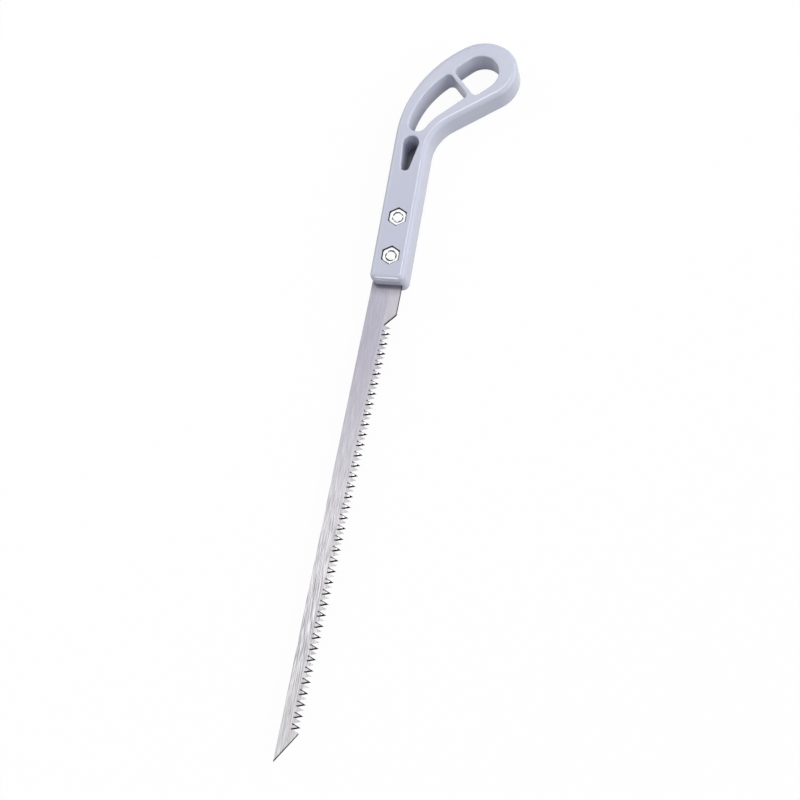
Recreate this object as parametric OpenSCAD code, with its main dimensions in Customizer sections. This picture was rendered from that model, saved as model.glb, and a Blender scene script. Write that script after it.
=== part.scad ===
// Small pruning saw: a straight toothed blade held in a socket in a moulded
// handle by two countersunk screws, with hexagon nuts let into the front face.
// X runs along the grip towards the point, Y towards the teeth, Z from the
// back face to the front face. The origin is on the back face, midway between
// the two screws. Lengths are in millimetres, turns in degrees from +X.

/* [Grip] */
// Width of the grip across its side walls
grip_w = 17.4; // [15:0.1:22]
// Thickness of the handle, back face to front face
handle_t = 12.6; // [12:0.1:16]
// Reach of the grip ahead of the point midway between the screws
grip_front = 22.8; // [20:0.1:30]
// Corner radius of the grip's front end
front_corner_r = 3.2; // [3.2:0.1:6]
// Rounding of the handle's outer edges at the front face
front_edge_r = 2.5; // [0.6:0.1:3]
// Rounding of the handle's outer edges at the back face
back_edge_r = 1; // [0.6:0.1:3]

/* [Loop] */
// Distance from the screws back to the centre of the crown, the loop's far end
crown_back = 92; // [84:0.5:110]
// Height of the crown's centre above the grip's centre line
crown_rise = 30.3; // [26:0.1:36]
// Radius of the crown
crown_r = 16; // [14:0.1:20]
// Radius of the heel, the slower curve below the crown
heel_r = 19.5; // [16:0.1:24]
// Direction in which the crown runs into the heel
heel_turn = 155; // [140:1:170]
// Radius of the belly, the long curve from the heel to the grip
belly_r = 58.4; // [50:0.2:70]
// Direction that the straight neck between crown and throat faces
neck_turn = 34.5; // [28:0.5:42]
// Radius of the throat, the hollow between neck and grip
throat_r = 20; // [14:0.2:26]

/* [Windows] */
// Direction along the web that parts the eye from the finger window
web_turn = 42; // [36:0.5:48]
// Thickness of the web
web_t = 2.2; // [1.4:0.1:4]
// Radius of the eye's round end, and half the width of the eye
eye_r = 9.5; // [7:0.1:11]
// Depth of the eye from the centre of its round end to the web
eye_depth = 9.2; // [7:0.1:11]
// Distance of the eye's centre ahead of the crown's centre
eye_ahead = 1.6; // [0:0.1:3]
// Distance of the eye's centre below the crown's centre
eye_drop = 2.4; // [0:0.1:4]
// Radius of the eye's corners at the web
eye_corner_r = 2.6; // [1:0.1:5]
// Radius of the finger window's long curved side
finger_r = 43.7; // [36:0.2:52]
// Rim left between the finger window and the throat
neck_rim = 5.8; // [3:0.1:7]
// Rim left between the finger window and the belly
belly_rim = 5.5; // [3:0.1:7]
// Radius of the finger window's round front end
finger_front_r = 4.6; // [3:0.1:5.4]
// Radius of the finger window's rear corner
finger_rear_r = 2.7; // [1:0.1:4]
// Radius of the finger window's top corner
finger_top_r = 2; // [1:0.1:4]
// Rib left between the finger window's front end and the wide end of the tapered slot
slot_rib = 2.6; // [1.6:0.1:5]
// Distance between the round ends of the slot
slot_l = 13; // [8:0.1:16]
// Lean of the slot towards the back of the blade
slot_lean = 3.5; // [0:0.5:8]
// Radius of the slot's wide end
slot_rear_r = 3.9; // [3:0.1:5]
// Radius of the slot's narrow end
slot_front_r = 2.1; // [1.2:0.1:2.9]
// Rounding of the windows' edges
mouth_r = 0.6; // [0.2:0.1:1]

/* [Blade] */
// Length of blade from the grip's front end to the point
blade_l = 227.7; // [120:0.1:330]
// Thickness of the blade
blade_t = 1; // [0.8:0.1:1.6]
// Width over the first tooth
blade_w = 13.5; // [11:0.05:16]
// Rim of the grip beside the blade's back edge
back_rim = 1; // [0.8:0.05:2]
// Lean of the blade's back edge from the grip's centre line
blade_lean = 1.2; // [0:0.1:2]
// Narrowing of the toothed edge towards the back edge
taper = 1.39; // [0:0.01:1.6]
// Rim of the grip beside the plain tab, on the toothed side
tab_rim = 1.75; // [1.2:0.05:2.5]
// Length of the plain tab ahead of the grip
tab_l = 15; // [8:0.1:30]
// Length of the slanted shoulder from the tab down to the first tooth
shoulder_l = 5.75; // [3:0.05:12]
// Least length of the slanted end, along the back edge
end_l = 13; // [8:0.1:20]
// Reach of the tang behind the point midway between the screws
tang_l = 20.5; // [16:0.1:28]

/* [Teeth] */
// Spacing of the tooth points
pitch = 2.53; // [2:0.01:5]
// Depth of the gullets below the tooth points
tooth_h = 3.8; // [2.5:0.1:5]
// Height of the part of each tooth that is bent to one side
set_h = 2.4; // [1.2:0.1:2.4]
// Distance that each tooth point is bent to its side
set_w = 0.18; // [0.05:0.01:0.3]
// Skew of the ground gullets, which bevels the flanks of the teeth
fleam = 25; // [10:1:30]

/* [Fasteners] */
// Distance between the screws
screw_gap = 20.3; // [16:0.1:26]
// Diameter of the screws
screw_d = 5; // [4:0.1:6]
// Diameter of the countersunk screw heads
head_d = 9.3; // [8.5:0.1:11]
// Height of the straight rim of the screw heads
head_rim = 0.35; // [0.2:0.05:0.8]
// Width of the arms of the cross recess in the screw heads
recess_w = 1.1; // [0.7:0.1:1.6]
// Length of the cross recess at the face of the head
recess_l = 5; // [3.5:0.1:7]
// Depth of the cross recess
recess_h = 2.2; // [1:0.1:2.5]
// Bevel at the end of the screws
screw_bevel = 0.4; // [0.2:0.1:0.8]
// Width of the nuts across their flats
nut_af = 7.8; // [7.5:0.1:9]
// Thickness of the nuts
nut_t = 4; // [3:0.1:4.6]
// Depth of the nuts' outer faces below the handle's front face
nut_recess = 0.6; // [0:0.1:1.5]
// Bevel at the mouths of the nuts' threads
nut_bevel = 0.35; // [0.1:0.05:0.6]

/* [Fits] */
// Height of the socket's floor, on which the blade lies, above the back face
seat_z = 5; // [4.2:0.1:6]
// Play of the blade's thickness in the socket
socket_gap = 0.15; // [0.05:0.05:0.4]
// Play between each edge of the tang and the socket
side_gap = 0.1; // [0.05:0.05:0.3]
// Distance that the socket runs past the end of the tang
tang_gap = 1.7; // [0.5:0.1:3]
// Play of the screws' diameter in the handle and in the blade
hole_gap = 0.3; // [0.1:0.05:0.8]
// Play round the screw heads' rims
head_gap = 0.1; // [0.05:0.05:0.3]
// Play of the screws' diameter in the nuts
thread_gap = 0.1; // [0.05:0.05:0.2]
// Play between each flat of a nut and its pocket
nut_gap = 0.3; // [0.05:0.05:0.4]

/* [Hidden] */

$fn = 64;
// Turn between the points of a long curve, and of a small corner
curve_step = 6;
corner_step = 15;
// Turn between the steps of a rounded edge
edge_step = 18;
mouth_step = 30;
// Distance that cuts run past the faces they open
over = 1;
// Share by which the shoulder's cut runs past its corners
shoulder_reach = 1.5;
// Pitches that the last tooth's strip runs ahead of its point, for the slanted end to trim
last_run = 2;
// Corners of a hexagon lie farther out than its flats by this factor
hex_reach = 1 / cos(30);

plastic = [0.78, 0.79, 0.86];
steel = [0.72, 0.71, 0.74];
zinc = [0.88, 0.89, 0.91];

// Handle outline: centres of its arcs, each arc running smoothly into the next
crown_c = [-crown_back, crown_rise];
heel_c = crown_c + (crown_r - heel_r) * heading(heel_turn);
belly_y = belly_r - grip_w / 2;
belly_c = [heel_c.x + sqrt(pow(belly_r - heel_r, 2) - pow(belly_y - heel_c.y, 2)), belly_y];
belly_turn = 180 + atan2(belly_c.y - heel_c.y, belly_c.x - heel_c.x);
throat_y = grip_w / 2 + throat_r;
neck_reach = crown_c * heading(neck_turn) + crown_r + throat_r;
throat_c = [(neck_reach - throat_y * sin(neck_turn)) / cos(neck_turn), throat_y];
corner_x = grip_front - front_corner_r;
corner_y = grip_w / 2 - front_corner_r;

// Windows: the web's own directions, along it towards the neck and across it towards the grip
web = heading(web_turn);
across = heading(web_turn - 90);
eye_c = crown_c + [eye_ahead, -eye_drop];
// Finger window: distances of its straight sides along those directions, and its curved sides
neck_r = throat_r + neck_rim;
finger_neck = throat_c * web - neck_r;
finger_web = eye_c * across + eye_depth + web_t;
finger_c = [belly_c.x, finger_r + belly_rim - grip_w / 2];
// Its front end touches the curved side along the belly and the one round the throat
front_run = throat_c - finger_c;
front_far = finger_r - finger_front_r;
front_along = (pow(front_far, 2) - pow(neck_r + finger_front_r, 2) + front_run * front_run)
              / (2 * norm(front_run));
front_off = sqrt(pow(front_far, 2) - pow(front_along, 2));
front_c = finger_c + (front_along * front_run + front_off * [front_run.y, -front_run.x]) / norm(front_run);
finger_front_turn = 360 + atan2(front_c.y - finger_c.y, front_c.x - finger_c.x);
front_neck_turn = atan2(throat_c.y - front_c.y, throat_c.x - front_c.x);
// Its rear corner, seen from the centre of the curved side along the belly
rear_in = finger_web + finger_rear_r - finger_c * across;
rear_out = sqrt(pow(finger_r - finger_rear_r, 2) - pow(rear_in, 2));
finger_rear_turn = web_turn + 180 + atan2(rear_in, rear_out);

// Blade, in its own frame before it leans: back edge, tab, tooth line and point
back_y = back_rim - grip_w / 2;
tab_x = grip_front + tab_l;
tab_y = grip_w / 2 - tab_rim;
point_x = grip_front + blade_l;
first_x = tab_x + shoulder_l + pitch / 2;
tip_y = back_y + blade_w;
teeth = 1 + floor((point_x - end_l - first_x) / (pitch * cos(taper)));
blade_z = seat_z + blade_t / 2;
// Height of the cuts through the blade
cut_h = blade_t + 2 * over;
// Half-width of a gullet at the tooth points, so that each tooth ends in a point on its own side
gullet_w = pitch / 2 + (blade_t / 2 + set_w) * tan(fleam);
// Each bent tooth starts clear of its neighbours by the width of the gullet at the bend
tooth_gap = gullet_w * (1 - set_h / tooth_h) - blade_t / 2 * tan(fleam);

// Fasteners: from the screw heads on the back to the nuts at the front
screw_l = handle_t - nut_recess;
head_h = head_rim + (head_d - screw_d) / 2;
nut_z = screw_l - nut_t;
socket_h = blade_t + socket_gap;
socket_back = tang_l + tang_gap;

function heading(turn) = [cos(turn), sin(turn)];
function arc(c, r, from, to, step) =
    let (n = ceil(abs(to - from) / step))
    [for (i = [0:n]) c + r * heading(from + (to - from) * i / n)];
function past(a, b, share) = a + (b - a) * share;
// A place on the blade: u along the tooth points from the first, v out from them
function tooth_place(u, v) =
    [first_x + u * cos(taper) + v * sin(taper), tip_y - u * sin(taper) + v * cos(taper)];

// Outline of the handle, drawn in by the given amount
function handle_outline(inset) = concat(
    arc([corner_x, -corner_y], front_corner_r - inset, -90, 0, corner_step),
    arc([corner_x, corner_y], front_corner_r - inset, 0, 90, corner_step),
    arc(throat_c, throat_r + inset, 270, neck_turn + 180, curve_step),
    arc(crown_c, crown_r - inset, neck_turn, heel_turn, curve_step),
    arc(heel_c, heel_r - inset, heel_turn, belly_turn, curve_step),
    arc(belly_c, belly_r - inset, belly_turn, 270, curve_step));

// Outline of the eye, widened by the given amount
function eye_outline(outset) = concat(
    arc(eye_c, eye_r + outset, web_turn, web_turn + 180, curve_step),
    [for (side = [-1, 1])
        each arc(eye_c + across * (eye_depth - eye_corner_r) + side * web * (eye_r - eye_corner_r),
                 eye_corner_r + outset,
                 web_turn + 225 + side * 45, web_turn + 315 + side * 45, corner_step)]);

// Outline of the finger window, widened by the given amount
function finger_outline(outset) = concat(
    arc(finger_c, finger_r + outset, finger_rear_turn, finger_front_turn, curve_step),
    arc(front_c, finger_front_r + outset, finger_front_turn, front_neck_turn + 360, corner_step),
    arc(throat_c, neck_r - outset, front_neck_turn + 180, web_turn + 180, curve_step),
    arc((finger_neck - finger_top_r) * web + (finger_web + finger_top_r) * across,
        finger_top_r + outset, web_turn, web_turn + 90, corner_step),
    arc(finger_c + rear_in * across - rear_out * web,
        finger_rear_r + outset, web_turn + 90, finger_rear_turn, corner_step));

// Outline of the tapered slot, widened by the given amount
function slot_outline(outset) =
    let (rear = [front_c.x + finger_front_r + slot_rib + slot_rear_r, 0],
         front = rear + slot_l * heading(-slot_lean),
         half = acos((slot_rear_r - slot_front_r) / slot_l))
    concat(
        arc(front, slot_front_r + outset, -slot_lean - half, -slot_lean + half, corner_step),
        arc(rear, slot_rear_r + outset, half - slot_lean, 360 - half - slot_lean, corner_step));

// A solid through outlines of equally many points, one at each height. Its end
// faces fan out from the last point, from which the whole outline can be seen.
module loft(outlines, heights) {
    n = len(outlines[0]);
    top = len(outlines) - 1;
    points = [for (k = [0:top]) for (p = outlines[k]) [p.x, p.y, heights[k]]];
    sides = [for (k = [0:top - 1]) for (i = [0:n - 1])
        [k * n + i, (k + 1) * n + i, (k + 1) * n + (i + 1) % n, k * n + (i + 1) % n]];
    caps = [[for (i = [0:n - 1]) (i + n - 1) % n], [for (i = [n - 1:-1:0]) top * n + i]];
    polyhedron(points, concat(sides, caps));
}

// Steps of a rounded edge, from the face to the wall: the distance in from the
// wall and the distance down from the face
function edge_steps(r, step) =
    [for (turn = [0:step:90]) r * [1 - sin(turn), 1 - cos(turn)]];
function reversed(list) = [for (i = [len(list) - 1:-1:0]) list[i]];

module handle_body() {
    back = edge_steps(back_edge_r, edge_step);
    front = reversed(edge_steps(front_edge_r, edge_step));
    loft([for (s = concat(back, front)) handle_outline(s[0])],
         concat([for (s = back) s[1]], [for (s = front) handle_t - s[1]]));
}

// Opening through the handle; its outlines grow by the rounding towards both faces
module window(outlines) {
    heights = [for (s = edge_steps(mouth_r, mouth_step)) s[1]];
    rows = concat([outlines[0]], outlines);
    levels = concat([-over], heights);
    loft(concat(rows, reversed(rows)),
         concat(levels, [for (z = reversed(levels)) handle_t - z]));
}

module at_screws() {
    for (side = [-1, 1])
        translate([side * screw_gap / 2, 0, 0])
            children();
}

// Room for a screw: clearance hole and countersink, whose cone fits the head's cone
module screw_hole() {
    sunk_r = head_d / 2 + head_gap;
    cylinder(d = screw_d + hole_gap, h = handle_t);
    rotate_extrude()
        polygon([[0, -over], [sunk_r, -over], [sunk_r, head_rim - head_gap],
                 [screw_d / 2, head_h], [0, head_h]]);
}

module nut_pocket() {
    translate([0, 0, nut_z])
        cylinder(d = (nut_af + 2 * nut_gap) * hex_reach, h = handle_t, $fn = 6);
}

module handle() {
    mouth = [for (s = edge_steps(mouth_r, mouth_step)) s[0]];
    color(plastic)
        difference() {
            handle_body();
            window([for (m = mouth) eye_outline(m)]);
            window([for (m = mouth) finger_outline(m)]);
            window([for (m = mouth) slot_outline(m)]);
            // Socket for the tang, open at the grip's front end
            rotate([0, 0, -blade_lean])
                translate([-socket_back, back_y - side_gap, seat_z])
                    cube([socket_back + grip_front + over, tab_y - back_y + 2 * side_gap, socket_h]);
            at_screws() {
                screw_hole();
                nut_pocket();
            }
        }
}

// Flat plate of the blade, up to the line where the teeth bend
module blade_plate() {
    bend_end = tooth_place(point_x - first_x, -set_h);
    linear_extrude(blade_t, center = true)
        polygon([[-tang_l, back_y], [point_x + over, back_y], bend_end,
                 tooth_place(0, -set_h), [tab_x, tab_y], [-tang_l, tab_y]]);
}

// Strip of one tooth, leaning to its side from the bend up to the tooth points
module tooth_strip(side, from, to) {
    lean = side * set_w / set_h;
    root = -tooth_h;
    half = blade_t / 2;
    translate([first_x, tip_y, 0])
        rotate([0, 0, -taper])
            translate([from, 0, 0])
                rotate([90, 0, 90])
                    linear_extrude(to - from)
                        polygon([[root, -half], [-set_h, -half], [over, lean * (set_h + over) - half],
                                 [over, lean * (set_h + over) + half], [-set_h, half], [root, half]]);
}

// Ground gullet before tooth j, skewed so that it bevels the teeth on both its sides
module gullet(j) {
    skew = j % 2 == 0 ? -fleam : fleam;
    reach = 1 + over / tooth_h;
    mouth = gullet_w * cos(fleam) * reach;
    translate([first_x, tip_y, 0])
        rotate([0, 0, -taper])
            translate([(j - 0.5) * pitch, 0, 0])
                rotate([0, skew, 0])
                    linear_extrude(cut_h, center = true)
                        polygon([[0, -tooth_h], [mouth, over], [-mouth, over]]);
}

// Cut past the slanted shoulder and the front flank of the first tooth
module shoulder_cut() {
    root = tooth_place(-pitch / 2, -tooth_h);
    linear_extrude(cut_h, center = true)
        polygon([past(root, [tab_x, tab_y], shoulder_reach), root,
                 past(root, tooth_place(0, 0), shoulder_reach)]);
}

// Cut past the slanted end, which runs from the last tooth to the point
module end_cut() {
    last = tooth_place((teeth - 1) * pitch, 0);
    run = last - [point_x, back_y];
    translate([point_x, back_y, 0])
        rotate([0, 0, atan2(run.y, run.x)])
            translate([-over, -blade_w, -cut_h / 2])
                cube([norm(run) + 2 * over, blade_w, cut_h]);
}

module blade() {
    color(steel)
        translate([0, 0, blade_z])
            difference() {
                rotate([0, 0, -blade_lean])
                    difference() {
                        union() {
                            blade_plate();
                            for (i = [0:teeth - 1])
                                tooth_strip(i % 2 == 0 ? 1 : -1,
                                            (i - 0.5) * pitch + tooth_gap / 2,
                                            (i + (i < teeth - 1 ? 0.5 : last_run)) * pitch - tooth_gap / 2);
                        }
                        for (j = [1:teeth - 1])
                            gullet(j);
                        shoulder_cut();
                        end_cut();
                    }
                at_screws()
                    cylinder(d = screw_d + hole_gap, h = cut_h, center = true);
            }
}

// Countersunk screw, its head at the back face and its end level with the nut
module screw(side) {
    color(zinc)
        translate([side * screw_gap / 2, 0, 0])
            difference() {
                rotate_extrude()
                    polygon([[0, 0], [head_d / 2, 0], [head_d / 2, head_rim], [screw_d / 2, head_h],
                             [screw_d / 2, screw_l - screw_bevel], [screw_d / 2 - screw_bevel, screw_l],
                             [0, screw_l]]);
                for (turn = [0, 90])
                    rotate([90, 0, turn])
                        linear_extrude(recess_w, center = true)
                            polygon([[-recess_l / 2, -over], [recess_l / 2, -over], [recess_l / 2, 0],
                                     [recess_w / 2, recess_h], [-recess_w / 2, recess_h],
                                     [-recess_l / 2, 0]]);
            }
}

// Hexagon nut with bevelled corners, seated on the floor of its pocket
module nut(side) {
    corner_r = nut_af / 2 * hex_reach;
    bore_r = (screw_d + thread_gap) / 2;
    bevel_h = (corner_r - nut_af / 2) * tan(30);
    color(zinc)
        translate([side * screw_gap / 2, 0, nut_z])
            intersection() {
                cylinder(r = corner_r, h = nut_t, $fn = 6);
                rotate_extrude()
                    polygon([[bore_r + nut_bevel, 0], [nut_af / 2, 0], [corner_r, bevel_h],
                             [corner_r, nut_t - bevel_h], [nut_af / 2, nut_t], [bore_r + nut_bevel, nut_t],
                             [bore_r, nut_t - nut_bevel], [bore_r, nut_bevel]]);
            }
}

module front_screw() screw(1);
module rear_screw() screw(-1);
module front_nut() nut(1);
module rear_nut() nut(-1);

handle();
blade();
front_screw();
rear_screw();
front_nut();
rear_nut();
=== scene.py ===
"""Looks of a small pruning saw: moulded handle, brushed blade, zinc-plated screws and nuts."""
import math

import bmesh
import bpy
from mathutils import Matrix, Vector


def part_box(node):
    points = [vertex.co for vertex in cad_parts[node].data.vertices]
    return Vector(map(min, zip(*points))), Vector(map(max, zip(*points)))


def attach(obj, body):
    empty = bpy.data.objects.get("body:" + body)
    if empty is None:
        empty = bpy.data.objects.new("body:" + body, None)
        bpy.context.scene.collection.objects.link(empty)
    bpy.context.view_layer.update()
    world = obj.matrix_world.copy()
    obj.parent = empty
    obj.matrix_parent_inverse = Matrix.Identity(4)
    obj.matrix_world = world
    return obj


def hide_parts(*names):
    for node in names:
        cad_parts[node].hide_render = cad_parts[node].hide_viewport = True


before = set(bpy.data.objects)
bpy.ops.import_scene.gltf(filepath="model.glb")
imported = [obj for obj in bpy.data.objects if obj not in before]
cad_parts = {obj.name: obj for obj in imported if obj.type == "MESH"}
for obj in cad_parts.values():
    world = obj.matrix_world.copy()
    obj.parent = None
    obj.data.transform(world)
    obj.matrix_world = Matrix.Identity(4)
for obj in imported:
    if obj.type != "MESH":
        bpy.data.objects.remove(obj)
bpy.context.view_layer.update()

MM = 0.001

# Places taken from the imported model, in millimetres
handle_low, handle_high = (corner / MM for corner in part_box("handle"))
nut_low, nut_high = (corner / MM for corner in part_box("front_nut"))
screw_low, screw_high = (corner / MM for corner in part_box("front_screw"))
HANDLE_T = handle_high.z - handle_low.z
GRIP_FRONT = handle_high.x
GRIP_W = -2 * handle_low.y
SCREW_X = (nut_low.x + nut_high.x) / 2
HEAD_R = (screw_high.x - screw_low.x) / 2
NUT_AF = nut_high.y - nut_low.y

# Handle outline, in millimetres and degrees from +X
FRONT_CORNER_R = 3.2
FRONT_EDGE_R = 2.5
BACK_EDGE_R = 1.0
CROWN = Vector((-92, 30.3))
CROWN_R = 16
HEEL_R = 19.5
HEEL_TURN = 155
BELLY_R = 58.4
NECK_TURN = 34.5
THROAT_R = 20

# Windows in the handle
WEB_TURN = 42
WEB_T = 2.2
EYE_R = 9.5
EYE_DEPTH = 9.2
EYE_SHIFT = Vector((1.6, -2.4))
EYE_CORNER_R = 2.6
FINGER_R = 43.7
NECK_RIM = 5.8
BELLY_RIM = 5.5
FINGER_FRONT_R = 4.6
FINGER_REAR_R = 2.7
FINGER_TOP_R = 2
SLOT_RIB = 2.6
SLOT_L = 13
SLOT_LEAN = 3.5
SLOT_REAR_R = 3.9
SLOT_FRONT_R = 2.1
MOUTH_R = 0.6

# Socket, pockets and holes in the handle; the socket's sides are in the leaning blade's frame
SOCKET_Z = 5
SOCKET_H = 1.15
SOCKET_BACK = 22.2
SOCKET_LOW_Y = -7.8
SOCKET_HIGH_Y = 7.05
NUT_GAP = 0.3
POCKET_LIP = 0.2
HOLE_D = 5.3
HEAD_GAP = 0.1

# Round mark on the front face where a pin pushed the moulding out
PIN_MARK = Vector((-94.3, 13.6))
PIN_MARK_R = 1.7
PIN_MARK_EDGE = 0.15

# Screws and nuts
SCREW_D = 5
HEAD_RIM = 0.35
HEAD_BREAK = 0.08
RECESS_W = 1.1
RECESS_L = 5
RECESS_H = 2.2
THREAD_START = 1
THREAD_PITCH = 0.8
THREAD_H = 0.45
THREAD_SLOPE = 1.35
SCREW_BEVEL = 0.5
NUT_BORE_D = 5.1
NUT_BEVEL = 0.45
NUT_FACE_R = 4.25
NUT_BREAK = 0.12
NUT_CORNER_SLOPE = math.tan(math.radians(30))

# Blade: lean from the grip's centre line, first tooth point and slope of the tooth points
BLADE_LEAN = math.radians(1.2)
FIRST_TOOTH = Vector((44.8, 5.8))
TAPER = math.radians(1.39)
TOOTH_H = 3.8
TOOTH_PITCH = 2.53
TAB_CORNER = Vector((37.8, 6.95))
SHOULDER_FOOT = Vector((43.5, 2.0))
BLADE_POINT = Vector((250.5, -7.7))
END_CORNER = Vector((237.5, 1.1))

# Blade, in millimetres: where its painted reflection, streaks and painted tip reflection rise,
# its painted shade near the grip, its band, and its painted shade at the gullet roots
PAINTED_REFLECTION_RISE = (40, 170)
STREAKS_RISE = (80, 190)
TIP_REFLECTION_RISE = (205, 235)
GRIP_SHADE_L = 7
BAND_W = 4.7
BAND_EDGE = 0.25
# Painted shade at the gullet roots: where the first spots lie and their depth below the tooth
# points
FIRST_ROOT_SHADE = (1.5, 3.56)
ROOT_SHADE_DEPTH = 3.55
TEETH_START = 1
TEETH_END = 2

# Colours: red, green, blue and alpha
PLASTIC_DARK = (0.535, 0.557, 0.672, 1)
PLASTIC_PALE = (0.558, 0.580, 0.690, 1)
SCUFF = (0.70, 0.71, 0.78, 1)
# Painted shade in the nut pockets and at the blade's mouth
POCKET_SHADE = (0.06, 0.06, 0.075, 1)
MOUTH_SHADE = (0.12, 0.12, 0.14, 1)
# The steel's own grey with a painted reflection: darker near the grip, lighter towards the point
STEEL_AND_DIM_REFLECTION = (0.398, 0.383, 0.452, 1)
STEEL_AND_BRIGHT_REFLECTION = (0.630, 0.616, 0.645, 1)
STEEL_GRAIN = (0.31, 0.30, 0.34, 1)
DARK_STREAK = (0.22, 0.215, 0.228, 1)
LIGHT_STREAK = (0.98, 0.97, 0.985, 1)
# Painted reflection at the tip
STEEL_TIP_REFLECTION = (0.62, 0.61, 0.62, 1)
STEEL_BAND = (0.60, 0.568, 0.575, 1)
GRIP_SHADE = (0.104, 0.10, 0.117, 1)
# Painted shade along the cut edges and at the gullet roots
EDGE_AND_ROOT_SHADE = (0.05, 0.049, 0.05, 1)
# Painted shade on the flanks and edge walls
FLANK_SHADE = (0.008, 0.0078, 0.008, 1)
STEEL_GRAZING = (0.6, 0.6, 0.6, 1)
ZINC_DULL = (0.76, 0.765, 0.78, 1)
ZINC_BRIGHT = (0.88, 0.885, 0.90, 1)
# Painted shade in the gap between the screw's end and the nut
THREAD_GAP_SHADE = (0.09, 0.09, 0.10, 1)
FLOOR_SHADE = (0.30, 0.30, 0.305, 1)
FLOOR_PALE = (0.95, 0.95, 0.95, 1)
ROOM_DIM = (0.080, 0.081, 0.086, 1)
ROOM_DARK = (0.017, 0.017, 0.019, 1)
ROOM_LIT = (1.35, 1.35, 1.38, 1)
WHITE = (1, 1, 1, 1)

# Floor, in millimetres, with a darker patch under the slot
FLOOR_HALF = 3000
FLOOR_DROP = 0.3
FLOOR_GLOW = 0.95
OPEN_SKY_REACH = 30
SLOT_SHADE = Vector((3.2, -1.7))
SLOT_SHADE_L = 17
SLOT_SHADE_W = 7
SLOT_SHADE_EDGE = 0.5

# Kinds of ray that see the floor and the room white
SEEN_RAYS = ("Is Camera Ray", "Is Glossy Ray", "Is Transmission Ray")

# Soft boxes: name, place, target and size in metres, power in watts
SOFT_BOXES = (
    ("loop_patch", (-1.0, -0.30, 1.39), (-1.0, -0.30, 0), (0.36, 0.5), 0.5),
    ("edge_patch", (-0.52, -0.02, 1.38), (-0.52, -0.02, 0), (0.65, 0.32), 3.9),
    ("front_top_box", (1.45, -0.45, 1.05), (0, 0, 0), (0.2, 0.5), 4.4),
    ("toothed_side_box", (-0.30, 1.50, 0.80), (0, 0, 0), (3.4, 1.5), 15),
    ("back_side_box", (-0.50, -1.40, 0.95), (0, 0, 0), (1.8, 1.4), 14.5),
)

# Camera fitted to the photograph: place in millimetres and directions in the saw's frame
PICTURE_PX = 800
FOCAL_PX = 1700
SENSOR_W = 36
CAMERA_PLACE = Vector((339.5, 202.9, 720.3))
CAMERA_FORWARD = Vector((-0.3314, -0.2399, -0.9125))
CAMERA_UP = Vector((-0.9294, -0.0835, 0.3595))

# Fineness of the meshes, and the angles in degrees at which their edges are sharp
CURVE_STEP = 2.5
CORNER_STEP = 7.5
EDGE_STEPS = 8
MOUTH_STEPS = 4
ROUND_SIDES = 72
THREAD_ROWS = 8
CUT_PAST = 2
FACE_STRIP = 0.3
HANDLE_SHARP = 35
SCREW_SHARP = 30
NUT_SHARP = 25


def heading(turn):
    """Unit vector in the direction of a turn in degrees."""
    return Vector((math.cos(math.radians(turn)), math.sin(math.radians(turn))))


def turn_of(run):
    """Turn in degrees of a direction."""
    return math.degrees(math.atan2(run.y, run.x))


def arc(centre, radius, start, end, step):
    """Points along an arc between two turns, both ends included."""
    count = max(1, math.ceil(abs(end - start) / step - 1e-6))
    turns = [start + (end - start) * i / count for i in range(count + 1)]
    return [centre + radius * heading(turn) for turn in turns]


# Handle outline: centres of its arcs, each running smoothly into the next
HEEL = CROWN + (CROWN_R - HEEL_R) * heading(HEEL_TURN)
BELLY_Y = BELLY_R - GRIP_W / 2
BELLY_AHEAD = math.sqrt((BELLY_R - HEEL_R) ** 2 - (BELLY_Y - HEEL.y) ** 2)
BELLY = Vector((HEEL.x + BELLY_AHEAD, BELLY_Y))
BELLY_TURN = 180 + turn_of(BELLY - HEEL)
NECK = heading(NECK_TURN)
NECK_REACH = CROWN.dot(NECK) + CROWN_R + THROAT_R
THROAT_Y = GRIP_W / 2 + THROAT_R
THROAT = Vector(((NECK_REACH - THROAT_Y * NECK.y) / NECK.x, THROAT_Y))
CORNER_X = GRIP_FRONT - FRONT_CORNER_R
CORNER_Y = GRIP_W / 2 - FRONT_CORNER_R

# Windows: directions along the web and across it, and the finger window's sides and corners
WEB = heading(WEB_TURN)
ACROSS = heading(WEB_TURN - 90)
EYE = CROWN + EYE_SHIFT
NECK_R = THROAT_R + NECK_RIM
FINGER_NECK = THROAT.dot(WEB) - NECK_R
FINGER_WEB = EYE.dot(ACROSS) + EYE_DEPTH + WEB_T
FINGER = Vector((BELLY.x, FINGER_R + BELLY_RIM - GRIP_W / 2))
FRONT_RUN = THROAT - FINGER
FRONT_FAR = FINGER_R - FINGER_FRONT_R
FRONT_ALONG = ((FRONT_FAR ** 2 - (NECK_R + FINGER_FRONT_R) ** 2 + FRONT_RUN.length ** 2)
               / (2 * FRONT_RUN.length))
FRONT_OFF = math.sqrt(FRONT_FAR ** 2 - FRONT_ALONG ** 2)
FINGER_FRONT = FINGER + (FRONT_ALONG * FRONT_RUN
                         + FRONT_OFF * Vector((FRONT_RUN.y, -FRONT_RUN.x))) / FRONT_RUN.length
REAR_IN = FINGER_WEB + FINGER_REAR_R - FINGER.dot(ACROSS)
REAR_OUT = math.sqrt((FINGER_R - FINGER_REAR_R) ** 2 - REAR_IN ** 2)
FINGER_REAR_TURN = WEB_TURN + 180 + math.degrees(math.atan2(REAR_IN, REAR_OUT))
FINGER_FRONT_TURN = 360 + turn_of(FINGER_FRONT - FINGER)
FRONT_NECK_TURN = turn_of(THROAT - FINGER_FRONT)
SLOT_REAR = Vector((FINGER_FRONT.x + FINGER_FRONT_R + SLOT_RIB + SLOT_REAR_R, 0))


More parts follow.
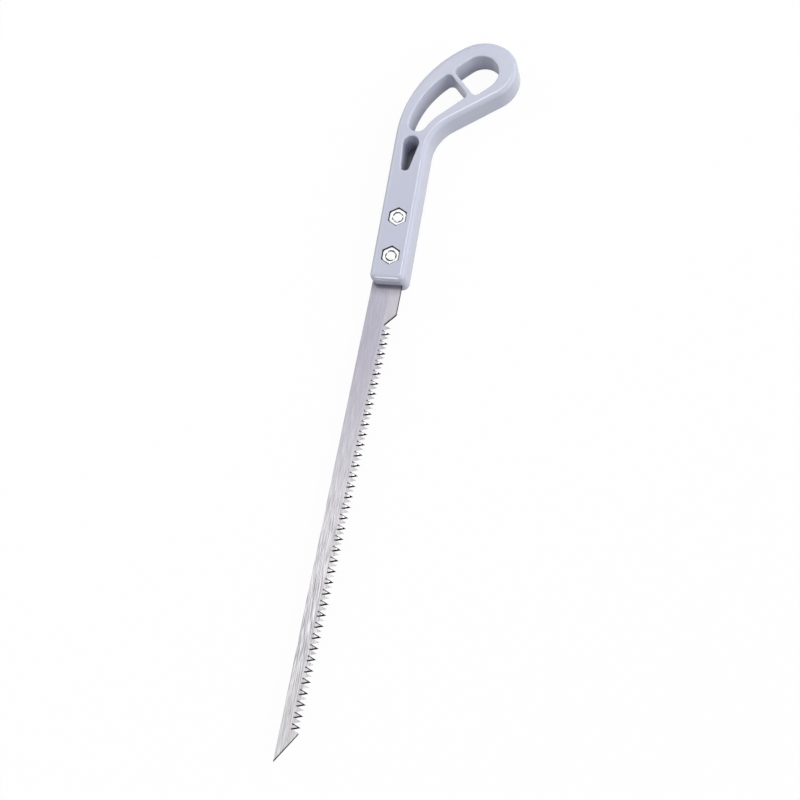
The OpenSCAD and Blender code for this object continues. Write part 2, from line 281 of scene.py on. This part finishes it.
def handle_outline(inset):
    """The handle seen from the front face, drawn in by an inset."""
    return (arc(Vector((CORNER_X, -CORNER_Y)), FRONT_CORNER_R - inset, -90, 0, CORNER_STEP)
            + arc(Vector((CORNER_X, CORNER_Y)), FRONT_CORNER_R - inset, 0, 90, CORNER_STEP)
            + arc(THROAT, THROAT_R + inset, 270, NECK_TURN + 180, CURVE_STEP)
            + arc(CROWN, CROWN_R - inset, NECK_TURN, HEEL_TURN, CURVE_STEP)
            + arc(HEEL, HEEL_R - inset, HEEL_TURN, BELLY_TURN, CURVE_STEP)
            + arc(BELLY, BELLY_R - inset, BELLY_TURN, 270, CURVE_STEP))


def eye_outline(outset):
    """The eye at the end of the loop: a round end and two corners at the web."""
    points = arc(EYE, EYE_R + outset, WEB_TURN, WEB_TURN + 180, CURVE_STEP)
    for side in (-1, 1):
        corner = EYE + ACROSS * (EYE_DEPTH - EYE_CORNER_R) + side * WEB * (EYE_R - EYE_CORNER_R)
        middle = WEB_TURN + 270 + side * 45
        points += arc(corner, EYE_CORNER_R + outset, middle - 45, middle + 45, CORNER_STEP)
    return points


def finger_outline(outset):
    """The finger window between the web, the neck and the belly."""
    front_r = FINGER_FRONT_R + outset
    top = (FINGER_NECK - FINGER_TOP_R) * WEB + (FINGER_WEB + FINGER_TOP_R) * ACROSS
    rear = FINGER + REAR_IN * ACROSS - REAR_OUT * WEB
    return (arc(FINGER, FINGER_R + outset, FINGER_REAR_TURN, FINGER_FRONT_TURN, CURVE_STEP)
            + arc(FINGER_FRONT, front_r, FINGER_FRONT_TURN, FRONT_NECK_TURN + 360, CORNER_STEP)
            + arc(THROAT, NECK_R - outset, FRONT_NECK_TURN + 180, WEB_TURN + 180, CURVE_STEP)
            + arc(top, FINGER_TOP_R + outset, WEB_TURN, WEB_TURN + 90, CORNER_STEP)
            + arc(rear, FINGER_REAR_R + outset, WEB_TURN + 90, FINGER_REAR_TURN, CORNER_STEP))


def slot_outline(outset):
    """The tapered slot in the bend of the handle."""
    front = SLOT_REAR + SLOT_L * heading(-SLOT_LEAN)
    half = math.degrees(math.acos((SLOT_REAR_R - SLOT_FRONT_R) / SLOT_L))
    low, high = -SLOT_LEAN - half, half - SLOT_LEAN
    return (arc(front, SLOT_FRONT_R + outset, low, high, CORNER_STEP)
            + arc(SLOT_REAR, SLOT_REAR_R + outset, high, 360 + low, CORNER_STEP))


def ring(bm, outline, z):
    """A closed row of vertices along an outline in millimetres."""
    return [bm.verts.new((p.x * MM, p.y * MM, z * MM)) for p in outline]


def bridge(bm, rows):
    """Quads between each closed row of vertices and the next."""
    for upper, lower in zip(rows, rows[1:]):
        for i, corner in enumerate(upper):
            j = (i + 1) % len(upper)
            bm.faces.new((corner, lower[i], lower[j], upper[j]))


def row_edges(bm, row):
    """The edges round a closed row of vertices."""
    return [bm.edges.get((row[i - 1], row[i])) for i in range(len(row))]


def finished(name, bm, material):
    """A mesh object made from a bmesh, with its faces turned outwards."""
    bmesh.ops.recalc_face_normals(bm, faces=bm.faces)
    mesh = bpy.data.meshes.new(name)
    bm.to_mesh(mesh)
    bm.free()
    piece = bpy.data.objects.new(name, mesh)
    bpy.context.scene.collection.objects.link(piece)
    mesh.materials.append(material)
    return piece


def smooth(piece, sharp_angle):
    """Smooth shading that keeps flat faces flat and breaks at sharp edges."""
    piece.data.shade_smooth()
    piece.data.set_sharp_from_angle(angle=math.radians(sharp_angle))
    weighted = piece.modifiers.new("flat_faces", "WEIGHTED_NORMAL")
    weighted.keep_sharp = True


def cut(piece, cutter):
    """Takes a cutter's shape out of a piece and removes the cutter."""
    boolean = piece.modifiers.new("cut", "BOOLEAN")
    boolean.object = cutter
    boolean.solver = "EXACT"
    bpy.context.view_layer.objects.active = piece
    bpy.ops.object.modifier_apply(modifier=boolean.name)
    bpy.data.objects.remove(cutter)


def edge_profile(radius, steps):
    """Steps of a rounded edge from face to wall: inset from the wall, depth below the face."""
    turns = [math.pi / 2 * i / steps for i in range(steps + 1)]
    return [(radius * (1 - math.sin(t)), radius * (1 - math.cos(t))) for t in turns]


def rounded_wall(bm, outline, front_r, back_r, steps):
    """A wall through the handle's thickness, rounded at both faces; returns its two end rows."""
    front, back = ([(radius + FACE_STRIP, 0)] + edge_profile(radius, steps)
                   for radius in (front_r, back_r))
    rows = [ring(bm, outline(d), HANDLE_T - z) for d, z in front]
    rows += [ring(bm, outline(d), z) for d, z in reversed(back)]
    bridge(bm, rows)
    return rows[0], rows[-1]


def prism(bm, sections):
    """A closed solid through outlines of equally many points at given heights."""
    rows = [ring(bm, outline, z) for outline, z in sections]
    bridge(bm, rows)
    bm.faces.new(rows[0])
    bm.faces.new(rows[-1])


def hexagon(centre, across_flats):
    """Corners of a hexagon with one corner towards +X."""
    return [centre + across_flats / math.sqrt(3) * heading(60 * i) for i in range(6)]


def disc(centre, radius):
    """Points of a circle."""
    return [centre + radius * heading(360 * i / ROUND_SIDES) for i in range(ROUND_SIDES)]


def make_handle(material):
    """One moulding: rounded walls round outline and windows, with socket, pockets and holes."""
    bm = bmesh.new()
    walls = [rounded_wall(bm, handle_outline, FRONT_EDGE_R, BACK_EDGE_R, EDGE_STEPS)]
    for outline in (eye_outline, finger_outline, slot_outline):
        walls.append(rounded_wall(bm, outline, MOUTH_R, MOUTH_R, MOUTH_STEPS))
    for rows in zip(*walls):
        edges = [edge for row in rows for edge in row_edges(bm, row)]
        bmesh.ops.triangle_fill(bm, use_beauty=True, edges=edges)
    handle = finished("moulded_handle", bm, material)

    bm = bmesh.new()
    socket_front = GRIP_FRONT + CUT_PAST
    socket = [Vector((x, y)) @ Matrix.Rotation(BLADE_LEAN, 2) for x, y in
              ((-SOCKET_BACK, SOCKET_LOW_Y), (socket_front, SOCKET_LOW_Y),
               (socket_front, SOCKET_HIGH_Y), (-SOCKET_BACK, SOCKET_HIGH_Y))]
    prism(bm, [(socket, SOCKET_Z), (socket, SOCKET_Z + SOCKET_H)])
    cut(handle, finished("socket", bm, material))

    pocket_af = NUT_AF + 2 * NUT_GAP
    lip_af = pocket_af + 2 * POCKET_LIP
    hole_r = HOLE_D / 2
    sunk_r = HEAD_R + HEAD_GAP
    sunk_z = HEAD_RIM - HEAD_GAP
    for side in (-1, 1):
        centre = Vector((side * SCREW_X, 0))
        bm = bmesh.new()
        prism(bm, [(hexagon(centre, pocket_af), nut_low.z),
                   (hexagon(centre, pocket_af), HANDLE_T - POCKET_LIP),
                   (hexagon(centre, lip_af), HANDLE_T),
                   (hexagon(centre, lip_af), HANDLE_T + CUT_PAST)])
        cut(handle, finished("pocket", bm, material))
        bm = bmesh.new()
        prism(bm, [(disc(centre, sunk_r), -CUT_PAST), (disc(centre, sunk_r), sunk_z),
                   (disc(centre, hole_r), sunk_z + sunk_r - hole_r),
                   (disc(centre, hole_r), nut_low.z + CUT_PAST)])
        cut(handle, finished("hole", bm, material))
    smooth(handle, HANDLE_SHARP)
    return handle


def thread_outline(centre, z, root_r, limit):
    """The screw's thread at one height, kept within a limiting radius."""
    points = []
    for i in range(ROUND_SIDES):
        phase = (z / THREAD_PITCH - i / ROUND_SIDES) % 1
        crest = min(1, THREAD_SLOPE * (1 - abs(2 * phase - 1)))
        r = min(root_r + THREAD_H * crest, limit)
        points.append(centre + r * heading(360 * i / ROUND_SIDES))
    return points


def recess_arms(centre, turn, length):
    """Two opposite arms of the cross recess, as one bar of a given length."""
    along = heading(turn) * length / 2
    sideways = heading(turn + 90) * RECESS_W / 2
    return [centre + x * along + y * sideways for x, y in ((-1, -1), (1, -1), (1, 1), (-1, 1))]


def make_screw(name, side, material):
    """Countersunk screw with a cross recess in its head and a thread up to its end."""
    centre = Vector((side * SCREW_X, 0))
    shank_r = SCREW_D / 2
    root_r = shank_r - THREAD_H
    cone_z = HEAD_RIM + HEAD_R - shank_r
    thread_z = cone_z + THREAD_START
    end_z = screw_high.z
    head = [(HEAD_R - HEAD_BREAK, 0), (HEAD_R, HEAD_BREAK), (HEAD_R, HEAD_RIM),
            (root_r, cone_z + THREAD_H), (root_r, thread_z)]
    bm = bmesh.new()
    rows = [ring(bm, disc(centre, r), z) for r, z in head]
    count = round((end_z - thread_z) / THREAD_PITCH * THREAD_ROWS)
    for k in range(1, count + 1):
        z = thread_z + (end_z - thread_z) * k / count
        limit = shank_r - SCREW_BEVEL * max(0, 1 - (end_z - z) / SCREW_BEVEL)
        rows.append(ring(bm, thread_outline(centre, z, root_r, limit), z))
    bridge(bm, rows)
    bm.faces.new(rows[0])
    bm.faces.new(rows[-1])
    screw = finished(name, bm, material)
    for turn in (0, 90):
        bm = bmesh.new()
        prism(bm, [(recess_arms(centre, turn, RECESS_L), -CUT_PAST),
                   (recess_arms(centre, turn, RECESS_L), 0),
                   (recess_arms(centre, turn, RECESS_W), RECESS_H)])
        cut(screw, finished("recess", bm, material))
    smooth(screw, SCREW_SHARP)
    return screw


def make_nut(name, side, material):
    """Hexagon nut whose corners are bevelled off on both faces."""
    centre = Vector((side * SCREW_X, 0))
    bore_r = NUT_BORE_D / 2
    turns = [360 * i / ROUND_SIDES for i in range(ROUND_SIDES)]
    outer = [NUT_AF / 2 / math.cos(math.radians(turn % 60 - 30)) for turn in turns]
    bm = bmesh.new()

    def round_row(radius, z):
        return ring(bm, disc(centre, radius), z)

    def face_row(z):
        return ring(bm, [centre + (min(r, NUT_FACE_R) - NUT_BREAK) * heading(turn)
                         for r, turn in zip(outer, turns)], z)

    def hex_row(z_face, inward):
        row = []
        for r, turn in zip(outer, turns):
            p = centre + r * heading(turn)
            drop = NUT_BREAK + max(0, r - NUT_FACE_R) * NUT_CORNER_SLOPE
            row.append(bm.verts.new((p.x * MM, p.y * MM, (z_face + inward * drop) * MM)))
        return row

    rows = [round_row(bore_r, nut_low.z + NUT_BEVEL), round_row(bore_r + NUT_BEVEL, nut_low.z),
            face_row(nut_low.z), hex_row(nut_low.z, 1), hex_row(nut_high.z, -1),
            face_row(nut_high.z), round_row(bore_r + NUT_BEVEL, nut_high.z),
            round_row(bore_r, nut_high.z - NUT_BEVEL)]
    bridge(bm, rows + rows[:1])
    nut = finished(name, bm, material)
    smooth(nut, NUT_SHARP)
    return nut


class Value:
    """An output of a shader node. Arithmetic on it adds Math nodes."""

    def __init__(self, paint, socket):
        self.paint = paint
        self.socket = socket

    def math(self, operation, first, second=0.0):
        return self.paint.add("ShaderNodeMath", {"operation": operation}, {0: first, 1: second})

    def __add__(self, other):
        return self.math("ADD", self, other)

    def __radd__(self, other):
        return self.math("ADD", other, self)

    def __sub__(self, other):
        return self.math("SUBTRACT", self, other)

    def __rsub__(self, other):
        return self.math("SUBTRACT", other, self)

    def __mul__(self, other):
        return self.math("MULTIPLY", self, other)

    def __rmul__(self, other):
        return self.math("MULTIPLY", other, self)

    def __truediv__(self, other):
        return self.math("DIVIDE", self, other)

    def __abs__(self):
        return self.math("ABSOLUTE", self)

    def __pow__(self, other):
        return self.math("POWER", self, other)

    def fract(self):
        """What is left above the next lower whole number."""
        return self.math("FRACT", self)

    def ramp(self, low, high):
        """0 up to low, 1 from high, and a smooth rise between."""
        return self.paint.add("ShaderNodeMapRange", {"interpolation_type": "SMOOTHSTEP"},
                              {"Value": self, "From Min": low, "From Max": high})


class Nodes:
    """The nodes of a material or of the world."""

    def __init__(self, tree):
        self.tree = tree

    def put(self, target, value):
        """Sets a socket to a value, or links it to another socket."""
        if isinstance(value, Value):
            self.tree.links.new(value.socket, target)
        else:
            target.default_value = value

    def add(self, kind, settings=None, inputs=None, output=0):
        """Adds a node: its settings first, then the values or links of its sockets."""
        node = self.tree.nodes.new(kind)
        for name, value in (settings or {}).items():
            setattr(node, name, value)
        for name, value in (inputs or {}).items():
            self.put(node.inputs[name], value)
        return Value(self, node.outputs[output])

    def axis(self, vector, letter):
        """One part of a vector: X, Y or Z."""
        return self.add("ShaderNodeSeparateXYZ", None, {0: vector}, output=letter)

    def mix(self, mask, first, second):
        """A colour between two colours."""
        return self.add("ShaderNodeMix", {"data_type": "RGBA"}, {0: mask, 6: first, 7: second},
                        output=2)


class Paint(Nodes):
    """A material with one Principled shader, and the nodes that feed it."""

    def __init__(self, name):
        self.material = bpy.data.materials.new(name)
        self.material.use_nodes = True
        super().__init__(self.material.node_tree)
        self.shader = self.tree.nodes["Principled BSDF"]
        self.place = self.add("ShaderNodeTexCoord", output="Object")
        self.x, self.y, self.z = (self.axis(self.place, letter) / MM for letter in "XYZ")

    def away(self, spot):
        """Distance in millimetres, along the faces of the saw, from a spot."""
        return ((self.x - spot.x) ** 2 + (self.y - spot.y) ** 2) ** 0.5

    def noise(self, scale, stretch=(1, 1, 1), turn=0.0, detail=2.0, roughness=0.5, waviness=0.0):
        """Noise in the saw's frame: scale in features per millimetre, stretch along each axis."""
        spot = self.add("ShaderNodeMapping", None,
                        {"Vector": self.place, "Rotation": (0, 0, turn),
                         "Scale": [s * scale / MM for s in stretch]})
        return self.add("ShaderNodeTexNoise", None,
                        {"Vector": spot, "Scale": 1.0, "Detail": detail, "Roughness": roughness,
                         "Distortion": waviness})

    def bump(self, height, strength, distance, below=None):
        """A bumped normal from a height, on top of another bumped normal."""
        inputs = {"Height": height, "Strength": strength, "Distance": distance * MM}
        if below is not None:
            inputs["Normal"] = below
        return self.add("ShaderNodeBump", None, inputs)

    def finish(self, **sockets):
        """Sets the Principled shader's sockets, named with underscores for spaces."""
        for name, value in sockets.items():
            self.put(self.shader.inputs[name.replace("_", " ")], value)
        return self.material


def handle_plastic():
    """Pale lavender-grey moulded plastic with a satin skin and faint handling marks."""
    paint = Paint("handle_plastic")
    clouds = paint.noise(0.03, detail=3)
    skin = paint.noise(2.2, detail=2)
    scuffs = paint.noise(0.5, stretch=(0.12, 2.4, 2.4), detail=4, roughness=0.65).ramp(0.62, 0.75)

    # Painted shade in the nut pockets, just below the front face round each screw
    below_face = (HANDLE_T - paint.z).ramp(0.02, 0.08)
    pocket_shade = 0
    for side in (-1, 1):
        from_screw = paint.away(Vector((side * SCREW_X, 0)))
        pocket_shade = pocket_shade + (1 - from_screw.ramp(5.0, 5.3)) * below_face
    # Painted shade on the front wall round the blade's mouth
    from_mouth = abs(paint.z - SOCKET_Z - SOCKET_H / 2)
    front_wall = paint.x.ramp(GRIP_FRONT - 1.0, GRIP_FRONT - 0.3)
    mouth_shade = front_wall * (1 - from_mouth.ramp(0.5, 2.4))

    colour = paint.mix(clouds.ramp(0.35, 0.65), PLASTIC_DARK, PLASTIC_PALE)
    colour = paint.mix(scuffs * 0.12, colour, SCUFF)
    # Painted shade in the nut pockets
    colour = paint.mix(pocket_shade, colour, POCKET_SHADE)
    # Painted shade at the blade's mouth
    colour = paint.mix(mouth_shade * 0.28, colour, MOUTH_SHADE)

    from_pin = paint.away(PIN_MARK)
    pin_mark = from_pin.ramp(PIN_MARK_R - PIN_MARK_EDGE, PIN_MARK_R + PIN_MARK_EDGE)
    skin_normal = paint.bump(skin, 0.25, 0.02)
    return paint.finish(Base_Color=colour, Roughness=0.13 + 0.06 * skin + 0.10 * scuffs, IOR=1.58,
                        Normal=paint.bump(pin_mark, 0.5, 0.05, below=skin_normal))


def blade_steel():
    """Steel brushed along the blade, with a band along the teeth; painted shade on the ground
    flanks, along the cut edges, at the gullet roots and near the grip, and painted reflection
    along the blade and at the tip.
    """
    paint = Paint("blade_steel")
    facing = abs(paint.axis(paint.add("ShaderNodeNewGeometry", output="Normal"), "Z"))
    # Flanks and edge walls: rougher as ground steel, and painted near-black as painted shade
    ground_and_shade = 1 - facing.ramp(0.75, 0.97)

    # Distances in millimetres along the blade, across it and in from the tooth points
    along = paint.x * math.cos(BLADE_LEAN) - paint.y * math.sin(BLADE_LEAN)
    width = paint.y * math.cos(BLADE_LEAN) + paint.x * math.sin(BLADE_LEAN)
    below_points = FIRST_TOOTH.y - (along - FIRST_TOOTH.x) * math.tan(TAPER) - width

    grain = paint.noise(3.0, stretch=(0.02, 1, 1), turn=BLADE_LEAN, detail=3, roughness=0.7)
    streaks = paint.noise(3.0, stretch=(0.035, 1, 1), turn=BLADE_LEAN, detail=1, waviness=0.4)
    brushing = 0.12 + 0.88 * along.ramp(*STREAKS_RISE)
    band = 1 - below_points.ramp(BAND_W - BAND_EDGE, BAND_W + BAND_EDGE)

    # Painted shade in a strip along each of the blade's cut edges
    def cut_edge(start, end):
        run = (end - start).normalized()
        away = abs((along - start.x) * run.y - (width - start.y) * run.x)
        return 1 - away.ramp(0.25, 0.5)

    above_gullets = 1 - below_points.ramp(TOOTH_H - 0.1, TOOTH_H + 0.1)
    tab_edge = 1 - (TAB_CORNER.y - width).ramp(0.1, 0.3)
    shoulder_edge = cut_edge(TAB_CORNER, SHOULDER_FOOT) * above_gullets
    edge_shade = cut_edge(BLADE_POINT, END_CORNER) + shoulder_edge + tab_edge

    # Every second gullet is ground the same way, so the painted shade at the gullet roots repeats
    # with each pair of teeth
    pair = 2 * TOOTH_PITCH * math.cos(TAPER)
    root_shade = 0
    for first_root_spot in FIRST_ROOT_SHADE:
        pairs = (along - FIRST_TOOTH.x - first_root_spot) / pair
        from_root = abs((pairs + 0.5).fract() - 0.5) * pair
        root_shade = root_shade + 1 - from_root.ramp(0.2, 0.55)
    root_shade = root_shade * (1 - abs(below_points - ROOT_SHADE_DEPTH).ramp(0.3, 0.6))
    root_shade = root_shade * along.ramp(FIRST_TOOTH.x, FIRST_TOOTH.x + TEETH_START)
    root_shade = root_shade * (1 - along.ramp(END_CORNER.x - TEETH_END, END_CORNER.x))

    near_grip = 1 - along.ramp(GRIP_FRONT, GRIP_FRONT + GRIP_SHADE_L)
    # The steel's own colour with a painted reflection: darker near the grip, lighter towards the
    # point
    face = paint.mix(along.ramp(*PAINTED_REFLECTION_RISE), STEEL_AND_DIM_REFLECTION, STEEL_AND_BRIGHT_REFLECTION)
    face = paint.mix((1 - grain.ramp(0.3, 0.6)) * 0.25, face, STEEL_GRAIN)
    face = paint.mix((1 - streaks.ramp(0.38, 0.48)) * brushing * 0.7, face, DARK_STREAK)
    face = paint.mix(streaks.ramp(0.52, 0.62) * brushing * 0.7, face, LIGHT_STREAK)
    # Painted reflection at the tip
    face = paint.mix(along.ramp(*TIP_REFLECTION_RISE) * 0.45, face, STEEL_TIP_REFLECTION)
    face = paint.mix(band * 0.25, face, STEEL_BAND)
    face = paint.mix(near_grip * 0.5, face, GRIP_SHADE)
    # Painted shade along the cut edges and at the gullet roots
    face = paint.mix((edge_shade + root_shade) * 0.8, face, EDGE_AND_ROOT_SHADE)
    # Painted shade on the flanks and edge walls
    return paint.finish(Base_Color=paint.mix(ground_and_shade, face, FLANK_SHADE), Metallic=1.0,
                        Roughness=0.15 + 0.08 * grain + 0.3 * ground_and_shade,
                        Specular_Tint=STEEL_GRAZING, Normal=paint.bump(grain, 0.25, 0.02))


def zinc_plating():
    """Bright zinc plating with a fine mottle, and painted shade in a broken ring where the
    screw's end meets the nut.
    """
    paint = Paint("zinc_plating")
    mottle = paint.noise(1.6, detail=3)
    nut_face = paint.z.ramp(nut_high.z - 1.2, nut_high.z - 1.0)
    # Painted shade in a broken ring where the screw's end meets the nut
    ring_breaks = paint.noise(0.35, detail=1).ramp(0.36, 0.54) * nut_face
    thread_gap_shade = 0
    for side in (-1, 1):
        from_thread = abs(paint.away(Vector((side * SCREW_X, 0))) - NUT_BORE_D / 2)
        thread_gap_shade = thread_gap_shade + (1 - from_thread.ramp(0.2, 0.4)) * ring_breaks
    colour = paint.mix(mottle.ramp(0.35, 0.65), ZINC_DULL, ZINC_BRIGHT)
    colour = paint.mix(thread_gap_shade, colour, THREAD_GAP_SHADE)
    return paint.finish(Base_Color=colour, Metallic=1.0, Roughness=0.12 + 0.10 * mottle,
                        Normal=paint.bump(mottle, 0.15, 0.01))


def white_floor():
    """Pale floor that glows white where it is seen, except in the deep shade under the slot."""
    paint = Paint("white_floor")
    camera, glossy, passing = (paint.add("ShaderNodeLightPath", output=ray) for ray in SEEN_RAYS)
    open_sky = paint.add("ShaderNodeAmbientOcclusion", {"samples": 4},
                         {"Distance": OPEN_SKY_REACH * MM}, output="AO")

    def outside(distance, length):
        return abs(distance).ramp(length / 2 - SLOT_SHADE_EDGE, length / 2 + SLOT_SHADE_EDGE)

    shade = SLOT_REAR + SLOT_SHADE
    open_floor = 1 - ((1 - outside(paint.x - shade.x, SLOT_SHADE_L))
                      * (1 - outside(paint.y - shade.y, SLOT_SHADE_W)))
    paint.finish(Base_Color=paint.mix(camera * open_floor, FLOOR_SHADE, FLOOR_PALE),
                 Roughness=1.0, Specular_IOR_Level=0.0)
    matt = Value(paint, paint.shader.outputs["BSDF"])
    glow = paint.add("ShaderNodeEmission", None, {"Color": WHITE, "Strength": 1.0})
    seen = camera + (glossy + passing) * open_sky.ramp(0.1, 0.4)
    surface = paint.add("ShaderNodeMixShader", None,
                        {0: seen * open_floor * FLOOR_GLOW, 1: matt, 2: glow})
    paint.put(paint.tree.nodes["Material Output"].inputs["Surface"], surface)
    return paint.material


def make_floor():
    """A wide flat floor just under the saw."""
    corners = [Vector((x, y)) * FLOOR_HALF for x, y in ((-1, -1), (1, -1), (1, 1), (-1, 1))]
    bm = bmesh.new()
    bm.faces.new(ring(bm, corners, handle_low.z - FLOOR_DROP))
    floor = finished("floor", bm, white_floor())


def add_soft_box(name, place, target, size, power):
    """A soft box at a place in metres, turned towards a target."""
    lamp = bpy.data.lights.new(name, "AREA")
    lamp.shape = "RECTANGLE"
    lamp.size, lamp.size_y = size
    lamp.energy = power
    holder = bpy.data.objects.new(name, lamp)
    holder.location = place
    holder.rotation_euler = (Vector(target) - Vector(place)).to_track_quat("-Z", "Y").to_euler()
    bpy.context.scene.collection.objects.link(holder)


def add_room():
    """A room that looks white and is dim as a light, except on the toothed side."""
    world = bpy.data.worlds.new("room")
    world.use_nodes = True
    room = Nodes(world.node_tree)
    direction = room.add("ShaderNodeTexCoord", output="Generated")
    ahead, toothed_side = (room.axis(direction, letter) for letter in "XY")
    lit = toothed_side.ramp(0.1, 0.7) * (1 - 0.2 * ahead.ramp(0.2, 0.7))
    light = room.mix(lit, room.mix(ahead.ramp(0.0, 0.55), ROOM_DIM, ROOM_DARK), ROOM_LIT)
    camera, glossy, passing = (room.add("ShaderNodeLightPath", output=ray) for ray in SEEN_RAYS)
    background = world.node_tree.nodes["Background"]
    room.put(background.inputs["Color"], room.mix(camera + glossy + passing, light, WHITE))
    background.inputs["Strength"].default_value = 1.0
    bpy.context.scene.world = world


def add_camera():
    """The photograph's view, with the lens set for a square picture."""
    camera = bpy.data.cameras.new("camera")
    camera.sensor_fit = "HORIZONTAL"
    camera.sensor_width = SENSOR_W
    camera.lens = SENSOR_W * FOCAL_PX / PICTURE_PX
    forward = CAMERA_FORWARD.normalized()
    right = forward.cross(CAMERA_UP).normalized()
    turn = Matrix((right, right.cross(forward), -forward)).transposed().to_4x4()
    holder = bpy.data.objects.new("camera", camera)
    holder.matrix_world = Matrix.Translation(CAMERA_PLACE * MM) @ turn
    bpy.context.scene.collection.objects.link(holder)
    bpy.context.scene.camera = holder


def main():
    """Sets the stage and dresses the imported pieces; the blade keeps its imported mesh."""
    add_camera()
    for soft_box in SOFT_BOXES:
        add_soft_box(*soft_box)
    add_room()
    make_floor()
    zinc = zinc_plating()
    pieces = {"handle": (make_handle(handle_plastic()), "handle_plastic")}
    for end, side in (("front", 1), ("rear", -1)):
        screw = make_screw(end + "_countersunk_screw", side, zinc)
        nut = make_nut(end + "_hexagon_nut", side, zinc)
        pieces[end + "_screw"] = (screw, "zinc_plated_steel")
        pieces[end + "_nut"] = (nut, "zinc_plated_steel")
    for node, (piece, slot) in pieces.items():
        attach(piece, "root")
        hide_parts(node)
    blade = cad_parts["blade"]
    blade.data.materials.clear()
    blade.data.materials.append(blade_steel())
    bpy.context.scene.view_settings.view_transform = "Standard"


main()
